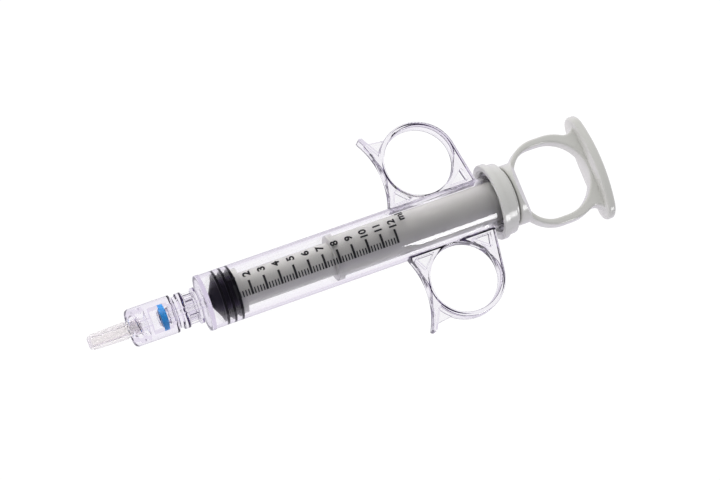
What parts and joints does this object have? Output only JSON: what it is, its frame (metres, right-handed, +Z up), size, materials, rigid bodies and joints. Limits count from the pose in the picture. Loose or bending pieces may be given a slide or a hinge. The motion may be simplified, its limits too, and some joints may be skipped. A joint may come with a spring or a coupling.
{
  "type": "cardiac output syringe",
  "caption": "Ring-handled control syringe with clear graduated barrel, rubber stopper, thumb ring plunger and rotating luer lock under a tip cap, lying on its side.",
  "frame": {"origin": "centre of the footprint, on the surface the syringe lies on", "axes": "+X along the syringe towards the thumb ring, +Y across the finger rings, +Z up"},
  "size_m": [0.177, 0.0676, 0.0257],
  "materials": {
    "clear_plastic": "clear glossy polycarbonate",
    "grey_plastic": "satin moulded light grey",
    "plunger_plastic": "satin moulded warm light grey",
    "black_rubber": "smooth black rubber",
    "blue_rubber": "smooth blue elastomer",
    "milky_plastic": "milky translucent polyethylene"
  },
  "bodies": {
    "barrel": {"barrel": "clear_plastic", "end_cap": "grey_plastic", "luer_hub": "clear_plastic", "seal_ring": "blue_rubber"},
    "stopper": {"stopper": "black_rubber"},
    "plunger": {"plunger": "plunger_plastic"},
    "luer_rotator": {"luer_rotator": "clear_plastic"},
    "tip_cap": {"tip_cap": "milky_plastic"}
  },
  "joints": [
    {"name": "stopper_slide", "type": "slide", "parent": "barrel", "child": "stopper", "axis": [0.9993, 0, 0.0367], "range_m": [0, 0.0596]},
    {"name": "plunger_turn", "type": "hinge", "parent": "stopper", "child": "plunger", "pos_m": [-0.04268, 0, 0.00944], "axis": [0.9993, 0, 0.0367], "continuous": true},
    {"name": "rotator_turn", "type": "hinge", "parent": "barrel", "child": "luer_rotator", "pos_m": [-0.06567, 0, 0.00859], "axis": [0.9993, 0, 0.0367], "continuous": true},
    {"name": "tip_cap_pull", "type": "slide", "parent": "luer_rotator", "child": "tip_cap", "axis": [-0.9993, 0, -0.0367], "range_m": [0, 0.015]}
  ]
}
